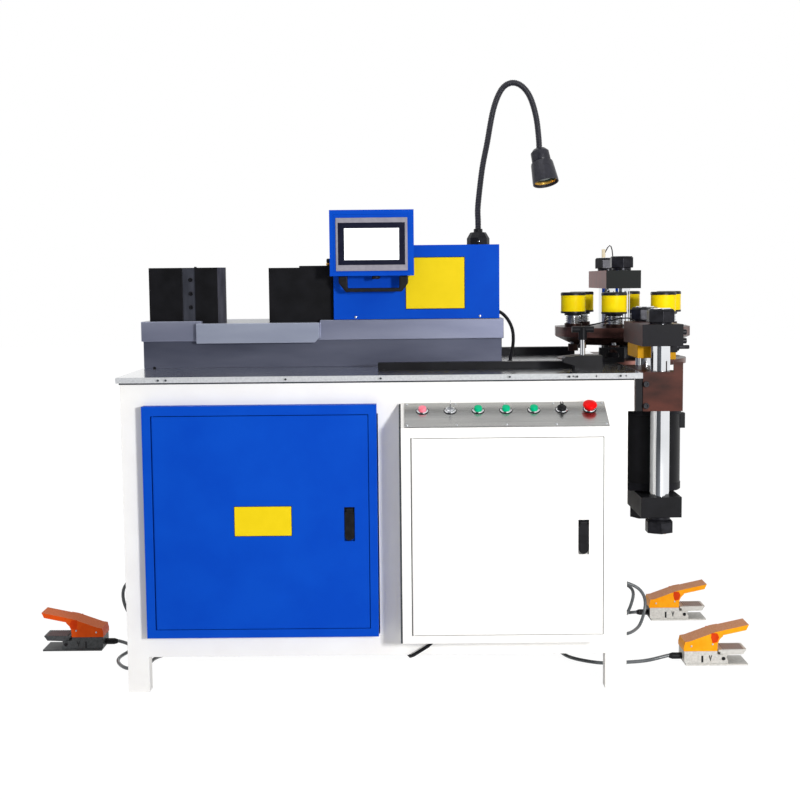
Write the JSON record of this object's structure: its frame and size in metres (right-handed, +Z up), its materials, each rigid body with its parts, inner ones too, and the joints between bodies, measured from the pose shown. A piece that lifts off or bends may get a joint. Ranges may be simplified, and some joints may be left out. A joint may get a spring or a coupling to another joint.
{
  "type": "busbar processing machine",
  "caption": "Steel cabinet with doors and sloping controls that carries a horizontal bending press, a column shear and a turret punch, with a touch screen, lamp and foot pedals.",
  "frame": {"origin": "on the floor, midway between the four anchor holes in the legs' foot plates", "axes": "+Z up, +X to the right along the machine's front, +Y to its back"},
  "size_m": [2.236, 1.308, 1.8167],
  "materials": {
    "white_paint": "smooth white powder coat",
    "blue_paint": "smooth gloss blue powder coat",
    "table_steel": "ground steel plate",
    "bed_iron": "machined grey casting",
    "black_oxide": "black oxide on tool steel",
    "brown_oxide": "dark red-brown oxide on steel",
    "chromed": "hard chrome",
    "stainless": "brushed stainless sheet",
    "black_plastic": "black moulded plastic",
    "screen_glass": "grey bezel with a lit screen",
    "red_plastic": "red moulded plastic",
    "green_plastic": "green moulded plastic",
    "key_steel": "nickel plated",
    "electrical_parts": "zinc plate with grey moulded devices",
    "hydraulic_paint": "grey-blue machine paint",
    "yellow_cap": "yellow moulded cap",
    "yellow_paint": "yellow paint",
    "cast_grey": "cast aluminium",
    "orange_guard": "orange paint",
    "grey_lead": "grey sheath"
  },
  "bodies": {
    "machine": {"cabinet_frame": "white_paint", "outer_panels": "white_paint", "table_plate": "table_steel", "tool_box": "blue_paint", "control_box": "white_paint", "control_panel": "stainless", "electrical_panel": "electrical_parts", "hydraulic_unit": "hydraulic_paint", "bending_bed": "bed_iron", "fixed_die_block": "black_oxide", "bending_cylinder": "black_oxide", "cylinder_cover": "blue_paint", "lamp_stem": "black_plastic", "lamp_head": "black_plastic", "conduit": "black_plastic", "table_fittings": "black_oxide", "clamp_base": "black_oxide", "base_blocks": "brown_oxide", "press_cylinders": "black_oxide", "pedal_bases": "cast_grey", "pedal_guards": "orange_guard", "lead_left": "grey_lead", "lead_front": "grey_lead", "lead_back": "grey_lead"},
    "tool_door": {"tool_box_door": "blue_paint"},
    "tool_latch": {"tool_box_latch": "black_plastic"},
    "control_door": {"control_door": "white_paint"},
    "control_latch": {"control_latch": "black_plastic"},
    "red_button": {"red_button": "red_plastic"},
    "key_switch": {"key_switch": "key_steel"},
    "green_button_1": {"green_button_1": "green_plastic"},
    "green_button_2": {"green_button_2": "green_plastic"},
    "green_button_3": {"green_button_3": "green_plastic"},
    "selector_switch": {"selector_switch": "black_plastic"},
    "emergency_stop": {"emergency_stop": "red_plastic"},
    "ram": {"ram_block": "black_oxide", "ram_rod": "chromed"},
    "screen": {"hmi_case": "blue_paint", "touch_screen": "screen_glass", "hmi_handle": "black_plastic"},
    "clamp_screw": {"clamp_screw": "black_oxide"},
    "shear_yoke": {"shear_crosshead": "brown_oxide", "shear_rods": "chromed", "shear_lower_crosshead": "black_oxide", "shear_blade_holder": "yellow_paint"},
    "shear_thumb_screw": {"shear_thumb_screw": "black_oxide"},
    "punch_yoke": {"punch_crosshead": "brown_oxide", "punch_columns": "chromed", "punch_lower_crosshead": "black_oxide"},
    "turret": {"turret_plate": "brown_oxide", "die_plate": "black_oxide"},
    "punch_1": {"punch_1": "yellow_cap"},
    "punch_2": {"punch_2": "yellow_cap"},
    "punch_3": {"punch_3": "yellow_cap"},
    "punch_4": {"punch_4": "yellow_cap"},
    "punch_5": {"punch_5": "yellow_cap"},
    "punch_6": {"punch_6": "yellow_cap"},
    "treadle_left": {"treadle_left": "cast_grey"},
    "treadle_front": {"treadle_front": "cast_grey"},
    "treadle_back": {"treadle_back": "cast_grey"}
  },
  "joints": [
    {"name": "tool_door_hinge", "type": "hinge", "parent": "machine", "child": "tool_door", "pos_m": [-0.6275, -0.6235, 0.503], "axis": [0, 0, -1], "range_deg": [0, 110]},
    {"name": "tool_latch_paddle", "type": "hinge", "parent": "tool_door", "child": "tool_latch", "pos_m": [-0.073, -0.624, 0.538], "axis": [-1, 0, 0], "range_deg": [0, 45], "stiffness_Nm_per_rad": 0.2, "springref_deg": -28.65},
    {"name": "control_door_hinge", "type": "hinge", "parent": "machine", "child": "control_door", "pos_m": [0.1085, -0.7015, 0.472], "axis": [0, 0, -1], "range_deg": [0, 110]},
    {"name": "control_latch_paddle", "type": "hinge", "parent": "control_door", "child": "control_latch", "pos_m": [0.5835, -0.702, 0.51], "axis": [-1, 0, 0], "range_deg": [0, 45], "stiffness_Nm_per_rad": 0.2, "springref_deg": -28.65},
    {"name": "red_button_press", "type": "slide", "parent": "machine", "child": "red_button", "axis": [0, 0.4697, -0.8828], "range_m": [0, 0.004], "stiffness_N_per_m": 300, "springref_m": -0.004},
    {"name": "green_button_1_press", "type": "slide", "parent": "machine", "child": "green_button_1", "axis": [0, 0.4697, -0.8828], "range_m": [0, 0.004], "stiffness_N_per_m": 300, "springref_m": -0.004},
    {"name": "green_button_2_press", "type": "slide", "parent": "machine", "child": "green_button_2", "axis": [0, 0.4697, -0.8828], "range_m": [0, 0.004], "stiffness_N_per_m": 300, "springref_m": -0.004},
    {"name": "green_button_3_press", "type": "slide", "parent": "machine", "child": "green_button_3", "axis": [0, 0.4697, -0.8828], "range_m": [0, 0.004], "stiffness_N_per_m": 300, "springref_m": -0.004},
    {"name": "key_turn", "type": "hinge", "parent": "machine", "child": "key_switch", "pos_m": [0.2156, -0.635, 0.81778], "axis": [0, 0.4697, -0.8828], "range_deg": [0, 90]},
    {"name": "selector_turn", "type": "hinge", "parent": "machine", "child": "selector_switch", "pos_m": [0.53, -0.635, 0.81778], "axis": [0, 0.4697, -0.8828], "range_deg": [0, 90]},
    {"name": "emergency_stop_press", "type": "slide", "parent": "machine", "child": "emergency_stop", "axis": [0, 0.4697, -0.8828], "range_m": [0, 0.004]},
    {"name": "ram_slide", "type": "slide", "parent": "machine", "child": "ram", "axis": [-1, 0, 0], "range_m": [0, 0.11]},
    {"name": "screen_swivel", "type": "hinge", "parent": "machine", "child": "screen", "pos_m": [-0.0085, -0.23, 1.256], "axis": [0, 0, 1], "range_deg": [-10, 10]},
    {"name": "clamp_screw_turn", "type": "hinge", "parent": "machine", "child": "clamp_screw", "pos_m": [0.6045, -0.52, 0.95], "axis": [0, 0, 1], "continuous": true},
    {"name": "shear_slide", "type": "slide", "parent": "machine", "child": "shear_yoke", "axis": [0, 0, -1], "range_m": [0, 0.03]},
    {"name": "thumb_screw_turn", "type": "hinge", "parent": "shear_yoke", "child": "shear_thumb_screw", "pos_m": [0.89, -0.44, 0.984], "axis": [1, 0, 0], "continuous": true},
    {"name": "punch_yoke_slide", "type": "slide", "parent": "machine", "child": "punch_yoke", "axis": [0, 0, -1], "range_m": [0, 0.025]},
    {"name": "turret_turn", "type": "hinge", "parent": "machine", "child": "turret", "pos_m": [0.821, 0.119, 0.98], "axis": [0, 0, 1], "continuous": true},
    {"name": "punch_1_slide", "type": "slide", "parent": "turret", "child": "punch_1", "axis": [0, 0, -1], "range_m": [0, 0.025], "stiffness_N_per_m": 4000, "springref_m": -0.02},
    {"name": "punch_2_slide", "type": "slide", "parent": "turret", "child": "punch_2", "axis": [0, 0, -1], "range_m": [0, 0.025]},
    {"name": "punch_3_slide", "type": "slide", "parent": "turret", "child": "punch_3", "axis": [0, 0, -1], "range_m": [0, 0.025], "stiffness_N_per_m": 4000, "springref_m": -0.02},
    {"name": "punch_4_slide", "type": "slide", "parent": "turret", "child": "punch_4", "axis": [0, 0, -1], "range_m": [0, 0.025], "stiffness_N_per_m": 4000, "springref_m": -0.02},
    {"name": "punch_5_slide", "type": "slide", "parent": "turret", "child": "punch_5", "axis": [0, 0, -1], "range_m": [0, 0.025], "stiffness_N_per_m": 4000, "springref_m": -0.02},
    {"name": "punch_6_slide", "type": "slide", "parent": "turret", "child": "punch_6", "axis": [0, 0, -1], "range_m": [0, 0.025], "stiffness_N_per_m": 4000, "springref_m": -0.02},
    {"name": "treadle_left_press", "type": "hinge", "parent": "machine", "child": "treadle_left", "pos_m": [-1.02, -0.107, 0.021], "axis": [0, -1, 0], "range_deg": [0, 8], "stiffness_Nm_per_rad": 5, "springref_deg": -8.59},
    {"name": "treadle_front_press", "type": "hinge", "parent": "machine", "child": "treadle_front", "pos_m": [1.06, -0.33, 0.021], "axis": [0, 1, 0], "range_deg": [0, 8], "stiffness_Nm_per_rad": 5, "springref_deg": -8.59},
    {"name": "treadle_back_press", "type": "hinge", "parent": "machine", "child": "treadle_back", "pos_m": [1.054, 0.207, 0.021], "axis": [0, 1, 0], "range_deg": [0, 8], "stiffness_Nm_per_rad": 5, "springref_deg": -8.59}
  ],
  "couplings": [
    {"joint": "punch_2_slide", "follows": "punch_yoke_slide", "ratio": 1}
  ]
}
